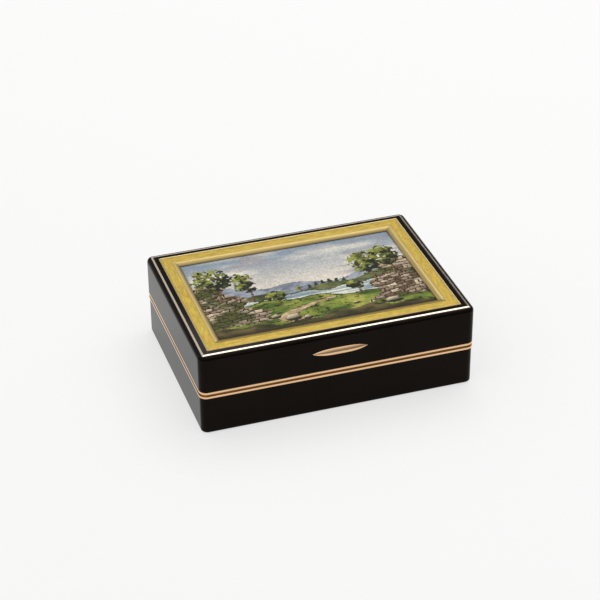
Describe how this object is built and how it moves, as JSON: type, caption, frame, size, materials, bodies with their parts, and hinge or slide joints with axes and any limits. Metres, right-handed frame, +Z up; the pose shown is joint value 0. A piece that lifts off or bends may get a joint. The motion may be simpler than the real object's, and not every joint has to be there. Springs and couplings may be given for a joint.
{
  "type": "snuff box",
  "caption": "Rectangular pocket snuff box with a hinged lid, metal rim bands, a thumbpiece and a small mosaic picture framed in the top of the lid.",
  "frame": {"origin": "centre of the flat underside of the base", "axes": "+X to the right along the width, +Y from the thumbpiece to the hinge, +Z up out of the lid"},
  "size_m": [0.084, 0.0627, 0.0263],
  "materials": {
    "dark_shell": "polished dark shell, nearly black",
    "polished_gold": "polished gold",
    "pale_gold": "polished pale gold",
    "matt_gold": "brushed and matted gold",
    "lining_gold": "burnished gold sheet",
    "tray_copper": "plain copper sheet",
    "mastic": "matt set mastic",
    "tesserae": "ground and waxed opaque glass tesserae of many colours"
  },
  "bodies": {
    "base": {"base_shell": "dark_shell", "base_rim_band": "polished_gold", "base_inner_lip": "lining_gold", "base_liner": "lining_gold", "base_hinge_bearer": "polished_gold", "base_knuckle_1": "polished_gold", "base_knuckle_2": "polished_gold", "base_knuckle_3": "polished_gold", "base_knuckle_4": "polished_gold", "hinge_pin": "polished_gold", "hinge_plug_left": "polished_gold", "hinge_plug_right": "polished_gold"},
    "lid": {"lid_shell": "dark_shell", "lid_rim_band": "polished_gold", "lid_stringing_front": "pale_gold", "lid_stringing_right": "pale_gold", "lid_stringing_back": "pale_gold", "lid_stringing_left": "pale_gold", "frame_rail_front": "matt_gold", "frame_rail_right": "matt_gold", "frame_rail_back": "matt_gold", "frame_rail_left": "matt_gold", "mosaic_tray": "tray_copper", "mosaic_mastic": "mastic", "mosaic_panel": "tesserae", "lid_liner": "lining_gold", "lid_hinge_bearer": "polished_gold", "lid_knuckle_1": "polished_gold", "lid_knuckle_2": "polished_gold", "lid_knuckle_3": "polished_gold", "thumbpiece": "polished_gold", "thumbpiece_rivet_left": "polished_gold", "thumbpiece_rivet_right": "polished_gold"}
  },
  "joints": [
    {"name": "lid_hinge", "type": "hinge", "parent": "base", "child": "lid", "pos_m": [0, 0.0304, 0.0132], "axis": [-1, 0, 0], "range_deg": [0, 100]}
  ]
}
